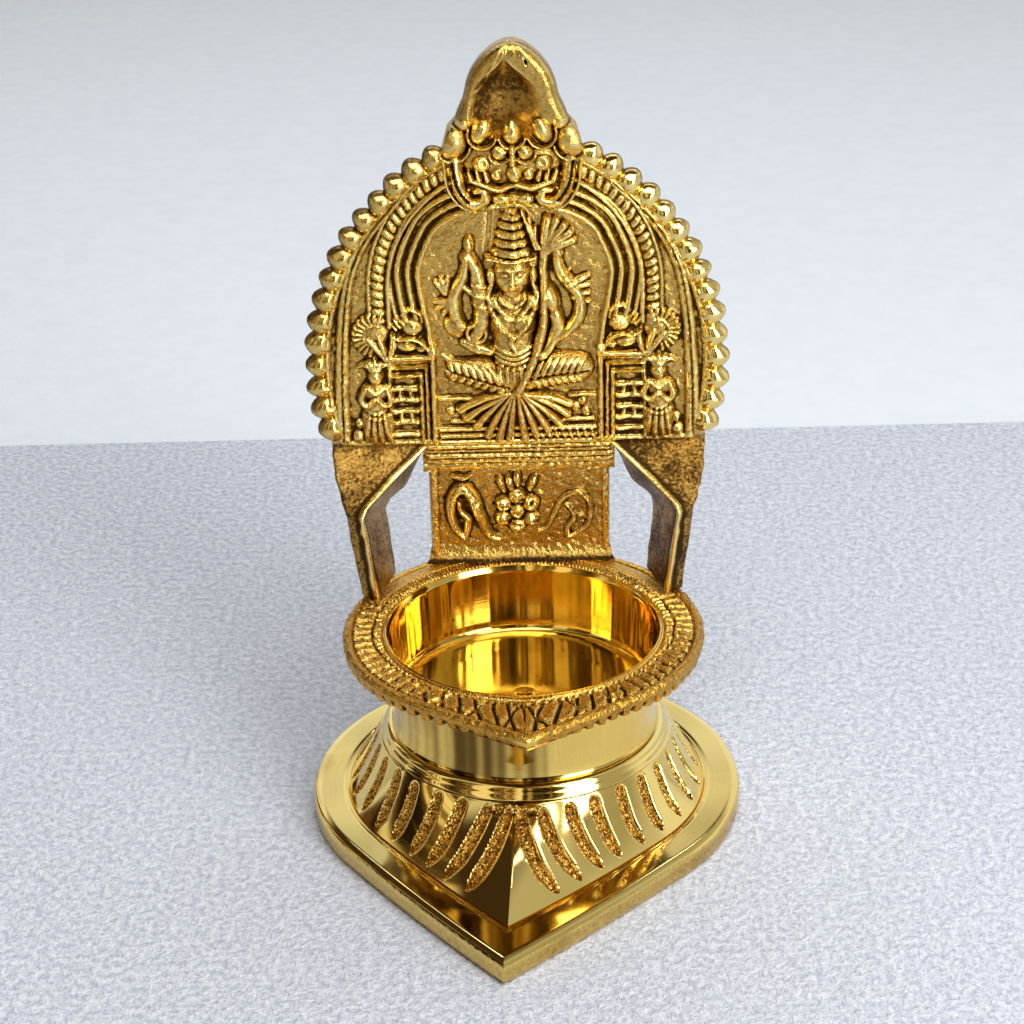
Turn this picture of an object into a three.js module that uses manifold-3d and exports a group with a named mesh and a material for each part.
// Small brass oil lamp for worship: a pointed oil bowl on a hollow fluted foot, with a pierced
// arch in relief standing on the back of the bowl's rim. A stud and a nut under the foot hold
// foot and bowl together. Millimetres, +Z up, the lamp's point towards -Y.
import * as THREE from 'three';
import { mergeVertices } from 'three/addons/utils/BufferGeometryUtils.js';
import Module from 'manifold-3d';

const wasm = await Module();
wasm.setup();

const DEG = Math.PI / 180;

// Whole lamp
const lampHeight = 106.8;

// Foot
const footRadius = 31; // round part of the flange
const footPoint = 46.1; // from the lamp's axis to the flange's point
const footShoulder = 50.8 * DEG; // where the round part meets the straight side, from the point
const footTwist = -4.6 * DEG; // the foot sits a little turned under the bowl
const flangeHeight = 3.6;
const flangeWall = 1.9;
const flangeRound = 0.7; // rounding of the flange's edges
const rimFlatWidth = 2.2; // the ring that stands on the table
const skirtRadius = 25.8;
const skirtPoint = 37.7;
const skirtSag = 1.2; // the skirt's sides are a little hollow
const shoulderRadius = 21.5;
const shoulderHeight = 11;
const shoulderPointing = 0.5; // the shoulder is nearly round
const ringStep = 1.05; // width of each turned ring above the skirt
const seatHeight = 14; // top of the foot, where the bowl stands
const footWall = 2.1;
const deckWall = 2.4;
const fluteCount = 34;
const fluteDepth = 0.75;
const fluteShare = 0.56; // part of the pitch that a flute takes

// Bowl
const neckRadius = 18.2;
const neckWall = 1.8;
const neckTaper = 0.2;
const flareHeight = 1.9; // where the neck runs out into the rim
const flareRadius = 1.3;
const flarePoint = 3.2;
const rimUnderInset = 1.4;
const bowlHeight = 14.1; // from the seat to the top of the rim
const bowlDepth = 10.1;
const mouthRadius = 19.5;
const mouthStep = 0.5; // the mouth's bevel
const floorRadius = 14;
const floorWall = 1.8;
const dimpleRadius = 0.9;
const dimpleDepth = 0.5;
const rimRadius = 25.6;
const rimPoint = 31.1;
const rimShoulder = 35.5 * DEG;
const rimEdge = 3;
const rimRound = 0.45;
const friezeInset = 1.1; // plain border outside the frieze
const friezeInner = 21; // radius of the frieze's inner border
const friezeDepth = 0.35;
const friezeBars = 16; // cross bars on each side
const friezeBarWidth = 0.55;
const friezeSlope = 0.25;
const beadCount = 15; // beads under the rim's edge on each side
const beadRadius = 1.2;

// Clamp under the foot
const studRadius = 2;
const studThread = 2.6; // thread in the boss
const studTail = 0.9; // stud past the nut
const threadClearance = 0.08;
const holeClearance = 0.4; // stud in the foot's deck
const washerRadius = 4.5;
const washerThickness = 0.8;
const washerClearance = 0.2;
const nutAcrossFlats = 7;
const nutThickness = 3.2;
const bossWall = 2.8;
const bossGap = 0.3; // the boss stops short so that the neck seats
const studGap = 0.3; // the stud stops short of the tapped hole's end

// Back plate, and what ties it to the rim
const fieldFront = 20; // y of the arch's ground
const plateThickness = 3.2;
const panelRecess = 1.6; // the lower panel's ground lies this far behind the arch's ground
const panelHalfWidth = 13.4;
const plinthHalfWidth = 14.5;
const rootDepth = 0.7; // relief forms reach this far into their ground
const postRidgeY = 10; // how far the posts come forward
const postFootHalfSpan = 20.9; // x of a post's front edge at the rim
const postFaceWidth = 2.5;
const postLean = 0.4; // outer side of a post behind and above its front edge
const windowOuterFoot = 18.4; // x of the window's outer edge at the rim
const postRootInset = 1.8; // a post's rear edge at the rim lies in front of the arch's ground
const pegRadius = 0.9;
const pegLength = 1.8;
const pegSpan = 24.3; // from the lamp's axis
const pegAngle = 27.5 * DEG;
const tenonHalfLength = 5;
const tenonThickness = 1;
const tenonDepth = 1.8;
const tenonSetback = 0.3;
const castClearance = 0.15; // pegs and tenon in the rim
const footSink = 0.6; // pegs and tenon reach this far up into the plate

const rimTop = seatHeight + bowlHeight;
const bowlFloor = rimTop - bowlDepth;
const deckUnder = seatHeight - deckWall;
const plateBack = fieldFront + plateThickness;
const panelFront = fieldFront + panelRecess;
const friezeEnd = Math.PI - Math.atan2(postFootHalfSpan + postFaceWidth, postRidgeY); // at the posts

// The plate's pattern keeps its proportions: it is drawn in millimetres for a rise of 78.7 mm over
// the rim, and grows with the lamp's height.
const growth = (lampHeight - rimTop) / 78.7;
const archBase = rimTop + 19.6 * growth;
const archBaseHalfWidth = 27.3 * growth;
const archSpringRise = 12.3 * growth; // from the arch's base to the centres of its two arcs
const archRadius = 36.1 * growth; // line through the lobes' middles
const archOffset = 6.9 * growth; // each arc's centre lies this far past the middle
const archEdgeInset = 1.5 * growth; // plate edge inside the lobes' line
const lobeCount = 15; // on each side
const lobePitch = 3.4 * growth;
const lobeStart = 1.6 * growth; // the lowest lobes lie this far above the arch's base
const lobeWidth = 3.3 * growth;
const lobeLength = 3.8 * growth;
const lobeInset = 0.7 * growth; // middles of the lobes inside the tips' line
const lobeProud = 1.75 * growth;
const lobeDepth = 0.6 * growth; // their middles behind the arch's ground
const ridgeInset = 2.3 * growth;
const ridgeWidth = 1.2 * growth;
const ridgeProud = 1 * growth;
const ridgeEnd = 62 * DEG;
const finialHeight = 14 * growth;
const finialHalfWidth = 6.7 * growth;
const finialProud = 1.6 * growth;
const finialScoop = 2 * growth;
const finialRound = 0.6 * growth;
const finialRoot = 2 * growth; // the leaf runs down behind the mask
const finialSpread = 1.4 * growth; // and widens there
const nicheRadius = 12.9 * growth;
const nicheSpring = archBase + 22.9 * growth;
const ribPitch = 1.75 * growth;
const ribCount = 4;
const ribWidth = 1 * growth;
const ribProud = 0.85 * growth;
const ribStop = 22 * DEG; // the outer ribs end at the mask
const ropeRadius = 20.6 * growth;
const ropeWidth = 1.7 * growth;
const ropeProud = 0.8 * growth;
const ropeDrop = 1.6 * growth; // the rope's centre lies below the niche's
const ropeEnd = 66 * DEG;
const ropeTicks = 13; // on each side
const ropeTickLength = 0.8 * growth;
const pillarInner = 11.9 * growth;
const pillarWidth = 7 * growth;
const pillarTop = archBase + 13.8 * growth;
const pillarProud = 0.9 * growth;
const pillarCap = 0.4 * growth;
const bandFoot = pillarTop + 5 * growth;
const fretCount = 3;
const fretPitch = 1 * growth;
const fretWidth = 0.5 * growth;
const fretInset = 0.3 * growth;
const fretProud = 1.1 * growth;
const plinthDrop = 4.1 * growth; // mouldings between panel and arch
const plinthPitch = 1.5 * growth;
const plinthBand = 0.8 * growth;
const plinthStep = 0.35 * growth;
const postTop = rimTop + 12.9 * growth;
const postTopHalfSpan = 22.6 * growth;
const bracketDrop = 1.7 * growth;
const windowOuterTop = 19.6 * growth;
const windowOuterRise = 9.2 * growth; // of the window's outer edge
const windowApexRise = 13.6 * growth; // of the window's inner corner
const postBackWidth = 5.8 * growth;
const archSpring = archBase + archSpringRise;
const archEdgeRadius = archRadius - archEdgeInset;

const polishedBrass = new THREE.MeshStandardMaterial({ color: 0xe3b44a, roughness: 0.22, metalness: 1 });
const turnedBrass = new THREE.MeshStandardMaterial({ color: 0xdcaa3c, roughness: 0.28, metalness: 1 });
const castBrass = new THREE.MeshStandardMaterial({ color: 0xc8943a, roughness: 0.42, metalness: 1 });
const platedSteel = new THREE.MeshStandardMaterial({ color: 0xa9aaa6, roughness: 0.38, metalness: 1 });

// Radius of a pointed outline at an angle from its point. The round part ends at the shoulder
// angle, and an arc tangent to it runs on to the point.
function outlineRadius(outline, angle) {
  const { radius, point, shoulder } = outline;
  const fromPoint = Math.abs(Math.atan2(Math.sin(angle), Math.cos(angle)));
  if (fromPoint >= shoulder || point <= radius) return radius;
  const k = (point ** 2 - radius ** 2) / (2 * (radius - point * Math.cos(shoulder)));
  const turn = shoulder - fromPoint;
  const reach = Math.sqrt((radius + k) ** 2 - (k * Math.sin(turn)) ** 2);
  return Math.sign(radius + k) * reach - k * Math.cos(turn);
}

function outlineRing(outline, angles, heightAt, insetAt = () => 0) {
  return angles.map((angle) => {
    const radius = outlineRadius(outline, angle) - insetAt(angle);
    return new THREE.Vector3(radius * Math.sin(angle), -radius * Math.cos(angle), heightAt(angle));
  });
}

function evenAngles(count) {
  return Array.from({ length: count }, (unused, i) => (i / count) * 2 * Math.PI);
}

// Joins rings of equal point counts into one closed body, with its faces pointing out.
function loft(rings, closesOnItself = false) {
  const count = rings[0].length;
  const points = rings.flat();
  const faces = [];
  const spans = closesOnItself ? rings.length : rings.length - 1;
  for (let i = 0; i < spans; i++) {
    const here = i * count;
    const there = ((i + 1) % rings.length) * count;
    for (let j = 0; j < count; j++) {
      const next = (j + 1) % count;
      faces.push(here + j, here + next, there + next);
      faces.push(here + j, there + next, there + j);
    }
  }
  if (!closesOnItself) {
    for (const [start, reversed] of [[0, true], [(rings.length - 1) * count, false]]) {
      const middle = new THREE.Vector3();
      for (let j = 0; j < count; j++) middle.addScaledVector(points[start + j], 1 / count);
      points.push(middle);
      for (let j = 0; j < count; j++) {
        const a = start + j;
        const b = start + ((j + 1) % count);
        faces.push(points.length - 1, reversed ? b : a, reversed ? a : b);
      }
    }
  }
  return outward(new THREE.BufferGeometry().setFromPoints(points).setIndex(faces));
}

function outward(geometry) {
  const position = geometry.attributes.position;
  const index = geometry.index.array;
  const corner = [new THREE.Vector3(), new THREE.Vector3(), new THREE.Vector3()];
  let volume = 0;
  for (let i = 0; i < index.length; i += 3) {
    corner.forEach((c, j) => c.fromBufferAttribute(position, index[i + j]));
    volume += corner[0].dot(corner[1].cross(corner[2]));
  }
  if (volume < 0) geometry.setIndex(Array.from(index).reverse());
  return geometry;
}

function toSolid(geometry) {
  const bare = geometry.clone();
  bare.deleteAttribute('normal');
  bare.deleteAttribute('uv');
  const merged = mergeVertices(bare, 1e-4);
  const vertProperties = new Float32Array(merged.attributes.position.array);
  const triVerts = new Uint32Array(merged.index.array);
  return new wasm.Manifold(new wasm.Mesh({ numProp: 3, vertProperties, triVerts }));
}

function join(geometries) {
  return geometries.map(toSolid).reduce((whole, piece) => whole.add(piece));
}

function toMesh(solid, name, material) {
  const { vertProperties, triVerts } = solid.getMesh();
  const geometry = new THREE.BufferGeometry();
  geometry.setAttribute('position', new THREE.BufferAttribute(vertProperties, 3));
  geometry.setIndex(new THREE.BufferAttribute(triVerts, 1));
  return named(geometry, name, material);
}

function named(geometry, name, material) {
  geometry.computeVertexNormals();
  const mesh = new THREE.Mesh(geometry, material);
  mesh.name = name;
  return mesh;
}

function rod(radius, low, high, sides = 24) {
  const geometry = new THREE.CylinderGeometry(radius, radius, high - low, sides);
  return geometry.rotateX(Math.PI / 2).translate(0, 0, (low + high) / 2);
}

// Foot: one hollow casting. Each flute is a flat-bottomed groove that fades out at both ends.
function buildFoot() {
  const pitch = (2 * Math.PI) / fluteCount;
  const land = (1 - fluteShare) / 2;
  const angles = [];
  for (let i = 0; i < fluteCount; i++) {
    for (const share of [0, land, land + 0.15, 1 - land - 0.15]) angles.push((i + share) * pitch);
  }
  const inFlute = (angle) => {
    const share = (angle / pitch) % 1;
    return share > land + 0.1 && share < 1 - land ? 1 : 0;
  };
  const ring = (radius, point, height, cut = 0) => outlineRing(
    { radius, point, shoulder: footShoulder }, angles, () => height, (angle) => cut * inFlute(angle),
  );
  const round = (radius, height) => ring(radius, radius, height);
  const skirt = (share, cut = 0) => ring(
    THREE.MathUtils.lerp(skirtRadius, shoulderRadius, share),
    THREE.MathUtils.lerp(skirtPoint, shoulderRadius + shoulderPointing, share),
    THREE.MathUtils.lerp(flangeHeight, shoulderHeight, share) - skirtSag * share * (1 - share),
    cut,
  );
  const hollowRadius = footRadius - rimFlatWidth;
  const hollowPoint = footPoint - rimFlatWidth * 1.35;
  const slant = footWall * 1.25;
  const hollowTop = shoulderRadius - slant;
  const ringHeight = (seatHeight - shoulderHeight) / 3;
  const skin = loft([
    ring(footRadius - flangeRound, footPoint - flangeRound * 1.3, 0),
    ring(footRadius, footPoint, flangeRound),
    ring(footRadius, footPoint, flangeHeight - flangeRound),
    ring(footRadius - flangeRound, footPoint - flangeRound * 1.3, flangeHeight),
    skirt(0),
    skirt(0.12, fluteDepth),
    skirt(0.62, fluteDepth),
    skirt(0.7),
    skirt(1),
    round(shoulderRadius, shoulderHeight + ringHeight * 0.7),
    round(shoulderRadius - ringStep, shoulderHeight + ringHeight),
    round(shoulderRadius - ringStep, shoulderHeight + ringHeight * 1.8),
    round(shoulderRadius - 2.2 * ringStep, seatHeight),
  ]);
  const insideAngles = evenAngles(48);
  const inner = (radius, point, height) => outlineRing(
    { radius, point, shoulder: footShoulder }, insideAngles, () => height,
  );
  const hollow = loft([
    inner(hollowTop * 0.915, hollowTop * 0.915, deckUnder),
    inner(hollowTop, hollowTop + shoulderPointing, shoulderHeight - footWall),
    inner(skirtRadius - slant, skirtPoint - slant * 1.3, flangeHeight - flangeWall),
    inner(hollowRadius * 0.986, hollowPoint * 0.988, flangeHeight - flangeWall),
    inner(hollowRadius, hollowPoint, 0),
    inner(hollowRadius, hollowPoint, -1),
  ]);
  const studHole = rod(studRadius + holeClearance, deckUnder - 1, seatHeight + 1);
  return toSolid(skin).subtract(toSolid(hollow)).subtract(toSolid(studHole));
}

// Bowl: neck, cup and pointed rim in one turned casting, with a tapped boss under its floor.
function buildBowl() {
  const angles = evenAngles(60);
  const atFrieze = (angle) => {
    const fromPoint = Math.abs(Math.atan2(Math.sin(angle), Math.cos(angle)));
    return fromPoint < friezeEnd ? 1 : 0;
  };
  const ring = (radius, point, height, drop = 0) => outlineRing(
    { radius, point, shoulder: rimShoulder }, angles, (angle) => height - drop * atFrieze(angle),
  );
  const round = (radius, height) => ring(radius, radius, height);
  const inside = (share) => round(
    THREE.MathUtils.lerp(mouthRadius - mouthStep, floorRadius, share ** 1.6),
    THREE.MathUtils.lerp(rimTop - mouthStep * 1.4, bowlFloor, share),
  );
  const floorUnder = bowlFloor - floorWall;
  const tapRadius = studRadius + threadClearance;
  const bossRadius = studRadius + bossWall;
  const bossFoot = seatHeight + bossGap;
  const rimUnder = rimTop - rimEdge;
  const friezeOuter = rimRadius - friezeInset;
  const friezeOuterPoint = rimPoint - friezeInset * 1.25;
  const friezeInnerPoint = friezeInner + (rimPoint - rimRadius) * 0.8;
  const body = loft([
    round(tapRadius, bossFoot + studThread),
    round(tapRadius, bossFoot),
    round(bossRadius, bossFoot),
    round(bossRadius, floorUnder),
    round(neckRadius - neckWall - neckTaper, floorUnder),
    round(neckRadius - neckWall, seatHeight),
    round(neckRadius, seatHeight),
    round(neckRadius, rimUnder - flareHeight),
    ring(neckRadius + flareRadius, neckRadius + flarePoint, rimUnder - flareHeight * 0.42),
    ring(rimRadius - rimUnderInset, rimPoint - rimUnderInset * 1.3, rimUnder),
    ring(rimRadius, rimPoint, rimUnder + rimRound),
    ring(rimRadius, rimPoint, rimTop - rimRound),
    ring(rimRadius - rimRound, rimPoint - rimRound * 1.3, rimTop),
    ring(friezeOuter, friezeOuterPoint, rimTop),
    ring(friezeOuter - friezeSlope, friezeOuterPoint - friezeSlope * 1.2, rimTop, friezeDepth),
    ring(friezeInner + friezeSlope, friezeInnerPoint + friezeSlope * 1.2, rimTop, friezeDepth),
    ring(friezeInner, friezeInnerPoint, rimTop),
    round(mouthRadius, rimTop),
    inside(0),
    inside(0.45),
    inside(0.8),
    inside(1),
    round(dimpleRadius, bowlFloor),
    round(dimpleRadius * 0.4, bowlFloor - dimpleDepth),
  ]);
  const shoulder = rimShoulder;
  const rimOutline = { radius: rimRadius, point: rimPoint, shoulder };
  const friezeInside = { radius: friezeInner, point: friezeInnerPoint, shoulder };
  const friezeOutside = { radius: friezeOuter, point: friezeOuterPoint, shoulder };
  const trims = [];
  for (const side of [-1, 1]) {
    for (let i = 0; i < beadCount; i++) {
      const angle = side * (i + 0.5) * (friezeEnd / beadCount);
      const reach = outlineRadius(rimOutline, angle) - beadRadius * 0.8;
      const bead = new THREE.SphereGeometry(beadRadius, 5, 3);
      trims.push(bead.rotateZ(angle).translate(reach * Math.sin(angle), -reach * Math.cos(angle), rimUnder));
    }
    for (let i = 0; i < friezeBars; i++) {
      const angle = side * (i + 0.8) * (friezeEnd / (friezeBars + 0.4));
      const inner = outlineRadius(friezeInside, angle);
      const outer = outlineRadius(friezeOutside, angle);
      const bar = new THREE.BoxGeometry(friezeBarWidth, outer - inner, friezeDepth * 2);
      bar.translate(0, -(inner + outer) / 2, rimTop - friezeDepth * 1.15);
      trims.push(bar.rotateZ(angle));
    }
  }
  const sockets = plateFeet(castClearance);
  return join([body, ...trims]).subtract(join(sockets));
}

// The cast feet that hold the back plate in the rim: a peg under each post and a tenon under
// the panel. The rim's sockets are the same shapes with a clearance all round.
function plateFeet(clearance) {
  const feet = [];
  const top = rimTop + footSink + clearance;
  for (const side of [-1, 1]) {
    const peg = rod(pegRadius + clearance, rimTop - pegLength - clearance, top, 12);
    const x = side * pegSpan * Math.cos(pegAngle);
    feet.push(peg.translate(x, pegSpan * Math.sin(pegAngle), 0));
  }
  const low = rimTop - tenonDepth - clearance;
  const length = 2 * (tenonHalfLength + clearance);
  const tenon = new THREE.BoxGeometry(length, tenonThickness + 2 * clearance, top - low);
  feet.push(tenon.translate(0, panelFront + tenonSetback + tenonThickness / 2, (low + top) / 2));
  return feet;
}

// Relief forms are drawn on the plane y = 0 and set on their ground by onGround or fromPattern.
function onGround(forms, ground = fieldFront) {
  return forms.map((form) => form.translate(0, ground, 0));
}

// Forms drawn in the pattern's own millimetres, over a base line.
function fromPattern(forms, base, ground = fieldFront) {
  return forms.map((form) => form.scale(growth, growth, growth).translate(0, ground, base));
}

// A raised band swept along a path of (x, z) points.
function moulding(path, width, proud) {
  const rings = path.map((point, i) => {
    const before = path[Math.max(i - 1, 0)];
    const after = path[Math.min(i + 1, path.length - 1)];
    const along = after.clone().sub(before).normalize();
    const half = (typeof width === 'function' ? width(i / (path.length - 1)) : width) / 2;
    const section = [[-1, -rootDepth], [-0.55, proud], [0.55, proud], [1, -rootDepth]];
    return section.map(([across, out]) => new THREE.Vector3(
      point.x - along.y * across * half, -out, point.y + along.x * across * half,
    ));
  });
  return loft(rings);
}

// A flat-topped form, from its outline in (x, z).
function raised(outline, proud, sunk = rootDepth) {
  const geometry = new THREE.ExtrudeGeometry(outline, { depth: proud + sunk, bevelEnabled: false });
  return geometry.rotateX(Math.PI / 2).translate(0, sunk, 0);
}

function rectangle(left, right, low, high) {
  const outline = new THREE.Shape();
  outline.moveTo(left, low);
  outline.lineTo(right, low);
  outline.lineTo(right, high);
  outline.lineTo(left, high);
  return outline;
}

// A rounded lump.
function lump(x, z, halfWidth, halfHeight, proud, tilt = 0) {
  const profile = [[0, -rootDepth], [1, -rootDepth], [0.74, proud * 0.68], [0, proud]];
  const geometry = new THREE.LatheGeometry(profile.map(([r, h]) => new THREE.Vector2(r, h)), 8);
  geometry.scale(halfWidth, 1, halfHeight).rotateY(tilt + Math.PI).rotateX(Math.PI);
  return geometry.translate(x, 0, z);
}

function arcPath(centreX, centreZ, radius, from, to, steps) {
  const curve = new THREE.EllipseCurve(centreX, centreZ, radius, radius, from, to, to < from);
  return curve.getPoints(steps);
}

function mirrorPath(path, side) {
  return path.map((point) => new THREE.Vector2(point.x * side, point.y));
}

function smoothPath(corners, steps) {
  const curve = new THREE.SplineCurve(corners.map(([x, z]) => new THREE.Vector2(x, z)));
  return curve.getPoints(steps);
}

// Plate of the arch, between its edge and its base.
function archGround() {
  const low = Math.asin(-archSpringRise / archEdgeRadius);
  const high = Math.acos(archOffset / archEdgeRadius);
  const outline = new THREE.Shape();
  outline.absarc(-archOffset, archSpring, archEdgeRadius, low, high, false);
  outline.absarc(archOffset, archSpring, archEdgeRadius, Math.PI - high, Math.PI - low, false);
  const depth = plateThickness;
  const ground = new THREE.ExtrudeGeometry(outline, { depth, bevelEnabled: false, curveSegments: 20 });
  return ground.rotateX(Math.PI / 2).translate(0, plateBack, 0);
}

// Bud-like lobes round the arch, each one turned about the radius that it points along.
function lobes() {
  const buds = [];
  const first = Math.asin((lobeStart - archSpringRise) / archRadius);
  for (const side of [-1, 1]) {
    for (let i = 0; i < lobeCount; i++) {
      const angle = first + (i + 0.3) * (lobePitch / archRadius);
      const profile = [[0, -0.5], [0.48, -0.3], [0.46, 0.08], [0, 0.5]];
      const bud = new THREE.LatheGeometry(profile.map(([r, h]) => new THREE.Vector2(r, h)), 6);
      bud.scale(lobeWidth, lobeLength, lobeProud * 2).rotateX(Math.PI / 2);
      bud.rotateY(Math.PI).rotateY(side * (Math.PI / 2 - angle));
      const reach = archRadius - lobeInset;
      const x = side * (reach * Math.cos(angle) - archOffset);
      buds.push(bud.translate(x, fieldFront + lobeDepth, archSpring + reach * Math.sin(angle)));
    }
  }
  return buds;
}

// Raised line inside the lobes, the rope inside it, and the ribs round the niche.
function archBands() {
  const bands = [];
  const ridgeRadius = archRadius - ridgeInset;
  const low = Math.asin(-archSpringRise / ridgeRadius);
  for (const side of [-1, 1]) {
    const ridge = arcPath(-archOffset, archSpring, ridgeRadius, low, ridgeEnd, 12);
    bands.push(moulding(mirrorPath(ridge, side), ridgeWidth, ridgeProud));
    for (let i = 0; i < ropeTicks; i++) {
      const angle = ((i + 0.5) / ropeTicks) * ropeEnd;
      const tick = new THREE.BoxGeometry(ropeWidth, ropeProud + rootDepth, ropeTickLength);
      tick.rotateY(-angle).translate(ropeRadius * Math.cos(angle), 0, ropeRadius * Math.sin(angle));
      tick.translate(0, (rootDepth - ropeProud) / 2, nicheSpring - ropeDrop);
      bands.push(side > 0 ? tick : mirrored(tick));
    }
    for (let i = 0; i < ribCount; i++) {
      const radius = nicheRadius + i * ribPitch;
      const rib = arcPath(0, nicheSpring, radius, 0, Math.PI / 2 - (i > 0 ? ribStop : 0), 7);
      rib.unshift(new THREE.Vector2(radius, bandFoot));
      bands.push(moulding(mirrorPath(rib, side), ribWidth, ribProud));
    }
  }
  return onGround(bands);
}

function mirrored(geometry) {
  return outward(geometry.scale(-1, 1, 1));
}

// Pillars with nested square frames.
function pillars() {
  const forms = [];
  for (const side of [-1, 1]) {
    const inner = side * pillarInner;
    const outer = side * (pillarInner + pillarWidth);
    const left = Math.min(inner, outer);
    const right = Math.max(inner, outer);
    forms.push(raised(rectangle(left, right, archBase, pillarTop), pillarProud * 0.5));
    for (let i = 0; i < fretCount; i++) {
      const inset = fretInset + i * fretPitch;
      const frame = rectangle(left + inset, right - inset, archBase + inset, pillarTop - inset);
      const reach = inset + fretWidth;
      frame.holes.push(rectangle(left + reach, right - reach, archBase + reach, pillarTop - reach));
      forms.push(raised(frame, fretProud));
    }
    const cap = rectangle(left - pillarCap, right + pillarCap, pillarTop - fretInset, pillarTop + fretPitch);
    forms.push(raised(cap, pillarProud + pillarCap));
  }
  return onGround(forms);
}

// Scrolled beast heads on the pillars, drawn over the pillars' tops.
function beasts() {
  const forms = [];
  for (const side of [-1, 1]) {
    const scroll = [];
    for (let i = 0; i <= 14; i++) {
      const turn = -100 * DEG + (i / 14) * 400 * DEG;
      const radius = THREE.MathUtils.lerp(2.7, 0.7, i / 14);
      scroll.push(new THREE.Vector2(19.5 + radius * Math.cos(turn), 4 + radius * Math.sin(turn)));
    }
    forms.push(moulding(mirrorPath(scroll, side), (share) => 1.7 - 0.7 * share, 1.5));
    forms.push(lump(side * 14.6, 3, 2.6, 1.9, 1.5, side * 0.2));
    forms.push(lump(side * 12.9, 4.9, 1.1, 1.1, 1.4));
    const tongue = smoothPath([[16, 1.6], [14, 1.5], [12, 1.7]], 4);
    forms.push(moulding(mirrorPath(tongue, side), 1, 1.2));
  }
  return fromPattern(forms, pillarTop);
}

// Attendants outside the pillars, drawn over the arch's base: skirt, body, head and a raised arm.
function attendants() {
  const forms = [];
  for (const side of [-1, 1]) {
    forms.push(lump(side * 21.6, 3.4, 2.3, 3.6, 1.3));
    forms.push(lump(side * 21.8, 7.6, 1.5, 2.3, 1.4));
    forms.push(lump(side * 21.6, 10.8, 1.2, 1.4, 1.4));
    const arm = smoothPath([[20.2, 8.6], [19.8, 6.6], [21, 5.6]], 4);
    forms.push(moulding(mirrorPath(arm, side), 0.9, 1.5));
  }
  return fromPattern(forms, archBase);
}

// Stepped plinth of the goddess, drawn over the arch's base.
function plinth() {
  return fromPattern([
    raised(rectangle(-12.4, 12.4, 0, 2.4), 1.5),
    raised(rectangle(-11.2, 11.2, 2.4, 4.2), 1.1),
    raised(rectangle(-12, 12, 4.2, 5.4), 1.3),
  ], archBase);
}

// Seated four-armed goddess, her skirt's pleats falling in a fan, drawn over her seat.
function goddess() {
  const forms = [
    lump(0, 2.1, 4.2, 2.2, 2.1),
    lump(0, 7.6, 2.6, 3.4, 1.9),
    lump(0, 10.6, 3.8, 3.6, 2.1),
    lump(0, 13.6, 4.7, 1.3, 1.8),
    lump(0, 15.1, 1.3, 1.6, 1.8),
    lump(0, 18, 2.5, 3.1, 2.4),
  ];
  for (let i = 0; i < 3; i++) {
    forms.push(lump(0, 20.8 + i * 2.1, 2.7 - i * 0.6, 1.5, 2.2 - i * 0.3));
  }
  for (const side of [-1, 1]) {
    forms.push(lump(side * 5.6, 1.9, 5, 2.5, 2.2, side * 0.12));
    forms.push(lump(side * 1.5, 10.4, 1.35, 1.3, 2.6));
    const lowerArm = smoothPath([[4.5, 13.4], [6.3, 9.2], [6.9, 7.4], [5.6, 9.6]], 5);
    forms.push(moulding(mirrorPath(lowerArm, side), 1.7, 1.9));
    const upperArm = smoothPath([[4.6, 13.4], [8.2, 13.2], [8.9, 15.5], [8.2, 18.6]], 5);
    forms.push(moulding(mirrorPath(upperArm, side), 1.5, 1.6));
    forms.push(lump(side * 8.1, 20.6, 1.3, 2, 1.4));
  }
  for (let i = -3; i <= 3; i++) {
    const turn = i * 21 * DEG;
    const fold = [new THREE.Vector2(1.2 * Math.sin(turn), 0.4)];
    fold.push(new THREE.Vector2(7 * Math.sin(turn), 0.4 - 6.4 * Math.cos(turn)));
    forms.push(moulding(fold, (share) => 0.7 + 0.9 * share, 2));
  }
  const staff = smoothPath([[6.4, 24.8], [4.3, 13.7], [1.1, 1]], 4);
  forms.push(moulding(staff, 0.8, 2.3));
  return fromPattern(forms, archBase + 8.2 * growth);
}

// Lion mask over the niche, with a bead and a hanging curl on each side, drawn round its middle.
function lionMask() {
  const forms = [
    lump(0, 0, 6.2, 4.3, 1.9),
    lump(0, -0.3, 1, 1.5, 2.9),
    raised(rectangle(-5.4, 5.4, -3.4, -2.5), 2.1),
    lump(0, 4.6, 1.2, 1.9, 2.3),
  ];
  for (const side of [-1, 1]) {
    forms.push(lump(side * 1.9, 1.6, 1, 1, 2.6));
    forms.push(lump(side * 4, 4.7, 1.3, 1.9, 2.2, side * 0.35));
    forms.push(lump(side * 8.2, 2.7, 2, 2.5, 2.2, side * 0.4));
    const curl = smoothPath([[8, 1], [7.4, -3], [5.8, -5.4], [4, -5.2], [4.6, -4]], 8);
    forms.push(moulding(mirrorPath(curl, side), (share) => 1.9 - 0.7 * share, 1.8));
  }
  return fromPattern(forms, archBase + 42.2 * growth);
}

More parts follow.
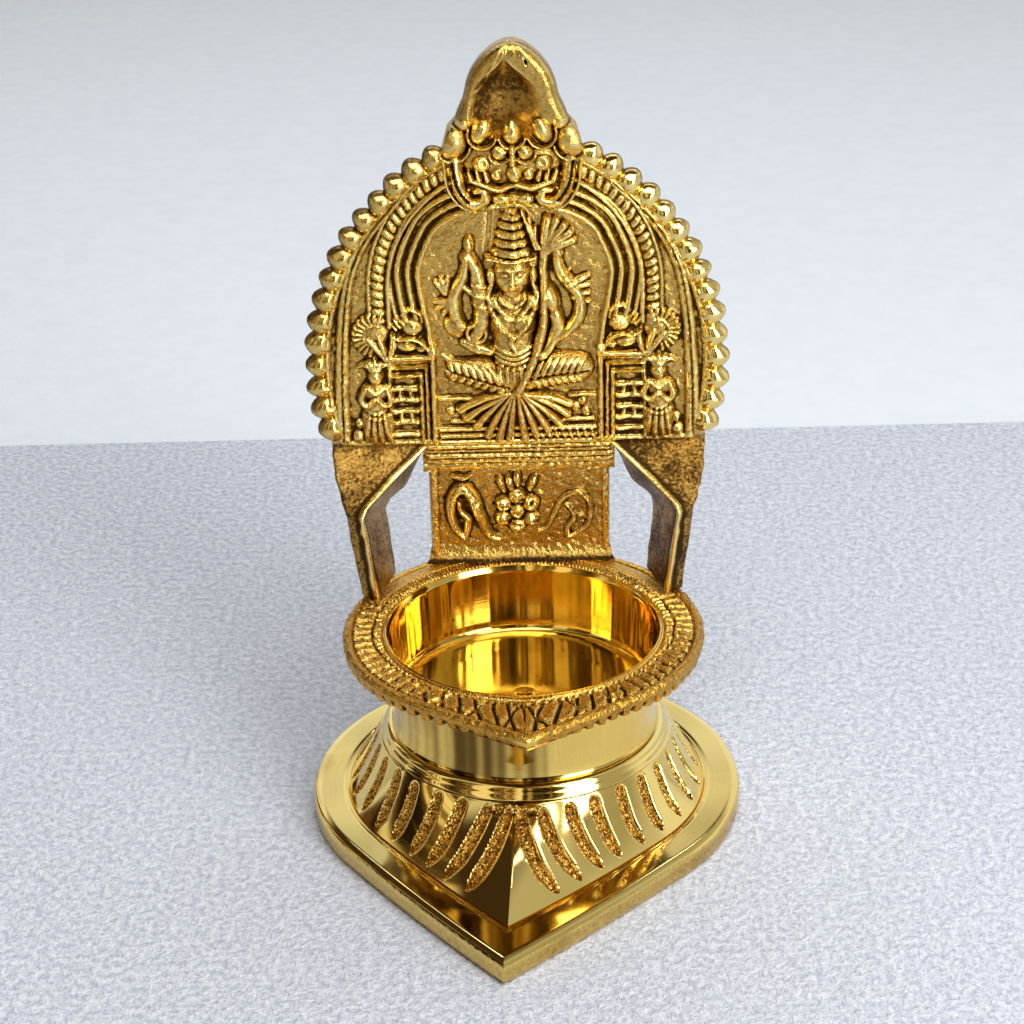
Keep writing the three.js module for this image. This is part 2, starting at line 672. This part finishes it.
// Scooped leaf at the top of the arch, with a thick rounded edge.
function finial() {
  const foot = lampHeight - finialHeight;
  const rootHalfWidth = finialHalfWidth + finialSpread;
  const outline = new THREE.Shape();
  const steps = 9;
  const edge = (share) => finialHalfWidth * (1 - share ** 1.7) ** (1 / 1.7);
  const reach = (share) => foot + share * finialHeight;
  outline.moveTo(-rootHalfWidth, foot - finialRoot);
  outline.lineTo(rootHalfWidth, foot - finialRoot);
  for (let i = 0; i < steps; i++) {
    const share = Math.sin((i / steps) * Math.PI / 2);
    outline.lineTo(edge(share), reach(share));
  }
  for (let i = steps; i >= 0; i--) {
    const share = Math.sin((i / steps) * Math.PI / 2);
    outline.lineTo(-edge(share), reach(share));
  }
  const leaf = new THREE.ExtrudeGeometry(outline, {
    depth: plateThickness + finialProud - 2 * finialRound,
    bevelEnabled: true,
    bevelThickness: finialRound,
    bevelSize: finialRound,
    bevelOffset: -finialRound,
    bevelSegments: 1,
  });
  leaf.rotateX(Math.PI / 2).translate(0, plateBack - finialRound, 0);
  const scoop = new THREE.SphereGeometry(1, 12, 8);
  scoop.scale(finialHalfWidth * 0.68, finialScoop, finialHeight * 0.42);
  scoop.translate(0, fieldFront - finialProud, foot + finialHeight * 0.4);
  return toSolid(leaf).subtract(toSolid(scoop));
}

// Posts that come forward to the sides of the rim, and the brackets that carry the arch on them.
function posts() {
  const forms = [];
  const bracketInner = plinthHalfWidth - rootDepth;
  const sunkTop = archBase + fretInset;
  for (const side of [-1, 1]) {
    const at = (x, y, z) => new THREE.Vector3(side * x, y, z);
    forms.push(loft([
      [
        at(postFootHalfSpan, postRidgeY, rimTop),
        at(postFootHalfSpan + postFaceWidth, postRidgeY, rimTop),
        at(windowOuterFoot + postFaceWidth, fieldFront - postRootInset + postLean, rimTop),
        at(windowOuterFoot, fieldFront - postRootInset, rimTop),
      ],
      [
        at(postTopHalfSpan, postRidgeY, postTop),
        at(postTopHalfSpan + postFaceWidth, postRidgeY + postLean, postTop + postLean),
        at(windowOuterTop + postBackWidth, plateBack, postTop + postLean),
        at(windowOuterTop, plateBack - pegRadius, rimTop + windowOuterRise),
      ],
      [
        at(bracketInner, fieldFront, archBase - bracketDrop),
        at(archBaseHalfWidth, fieldFront, sunkTop),
        at(archBaseHalfWidth, plateBack, sunkTop),
        at(bracketInner, plateBack, rimTop + windowApexRise),
      ],
    ]));
  }
  return forms;
}

// Panel between the windows, under the arch's mouldings.
function panel() {
  const high = archBase - plinthDrop;
  const lowerEdge = panelHalfWidth - fretWidth;
  const ground = rectangle(-panelHalfWidth, panelHalfWidth, rimTop, high + footSink);
  const ledge = rectangle(-plinthHalfWidth, plinthHalfWidth, high - pillarCap, archBase + fretWidth);
  const bands = [raised(ledge, 0, plateThickness)];
  for (let i = 0; i < 3; i++) {
    const low = high + pillarCap + i * plinthPitch;
    const band = rectangle(-plinthHalfWidth + fretInset, plinthHalfWidth - fretInset, low, low + plinthBand);
    bands.push(raised(band, fretWidth + i * plinthStep));
  }
  const borders = [-1, 1].map((side) => {
    const edge = [new THREE.Vector2(side * lowerEdge, rimTop), new THREE.Vector2(side * lowerEdge, high)];
    return moulding(edge, pillarProud, rootDepth);
  });
  borders.push(raised(ground, 0, plateBack - panelFront));
  return [...onGround(bands), ...onGround(borders, panelFront)];
}

// Flower and two vine curls, drawn round the panel's middle.
function vines() {
  const forms = [lump(0, 0, 1.5, 1.5, 1.7)];
  for (const side of [-1, 1]) {
    const vine = smoothPath([[3.4, -4], [5.6, -0.6], [7.8, 3.2], [10.4, 1.4], [9.4, -2.2], [8.2, -0.4]], 12);
    forms.push(moulding(mirrorPath(vine, side), (share) => 1.5 - 0.5 * share, 1.1));
  }
  for (let i = 0; i < 6; i++) {
    const angle = (i + 0.5) * 60 * DEG;
    forms.push(lump(2.8 * Math.cos(angle), 2.8 * Math.sin(angle), 1.35, 1.35, 1.4));
  }
  return fromPattern(forms, (rimTop + archBase - plinthDrop) / 2, panelFront);
}

function buildBackPlate() {
  const forms = [archGround(), ...lobes(), ...archBands(), ...pillars(), ...beasts(), ...attendants()];
  forms.push(...plinth(), ...goddess(), ...lionMask(), ...posts(), ...panel(), ...vines(), ...plateFeet(0));
  return join(forms).add(finial());
}

// Clamp under the foot: the stud screwed into the boss, a washer and a hexagon nut.
function buildStud() {
  const high = seatHeight + bossGap + studThread - studGap;
  const low = deckUnder - washerThickness - nutThickness - studTail;
  return rod(studRadius, low, high);
}

function buildWasher() {
  const inner = studRadius + washerClearance;
  const height = washerThickness;
  const profile = [[inner, 0], [washerRadius, 0], [washerRadius, height], [inner, height], [inner, 0]];
  const ring = new THREE.LatheGeometry(profile.map(([r, h]) => new THREE.Vector2(r, h)), 24);
  return ring.rotateX(Math.PI / 2).translate(0, 0, deckUnder - washerThickness);
}

function buildNut() {
  const outline = new THREE.Shape();
  const cornerRadius = nutAcrossFlats / Math.sqrt(3);
  for (let i = 0; i < 6; i++) {
    const angle = i * 60 * DEG;
    const place = [cornerRadius * Math.cos(angle), cornerRadius * Math.sin(angle)];
    if (i === 0) outline.moveTo(...place);
    else outline.lineTo(...place);
  }
  const bore = new THREE.Path();
  bore.absarc(0, 0, studRadius + threadClearance, 0, 2 * Math.PI, true);
  outline.holes.push(bore);
  const settings = { depth: nutThickness, bevelEnabled: false, curveSegments: 12 };
  const nut = new THREE.ExtrudeGeometry(outline, settings);
  return nut.translate(0, 0, deckUnder - washerThickness - nutThickness);
}

const foot = toMesh(buildFoot(), 'foot', polishedBrass);
foot.rotation.z = footTwist;

const lamp = new THREE.Group();
lamp.add(
  foot,
  toMesh(buildBowl(), 'bowl', turnedBrass),
  toMesh(buildBackPlate(), 'back_plate', castBrass),
  named(buildStud(), 'clamp_stud', platedSteel),
  named(buildWasher(), 'clamp_washer', platedSteel),
  named(buildNut(), 'clamp_nut', platedSteel),
);

// The origin is the middle of the foot's footprint, on the table.
foot.updateMatrixWorld(true);
const footprint = new THREE.Box3().setFromObject(foot, true);
lamp.position.set(-(footprint.min.x + footprint.max.x) / 2, -(footprint.min.y + footprint.max.y) / 2, 0);

export default lamp;
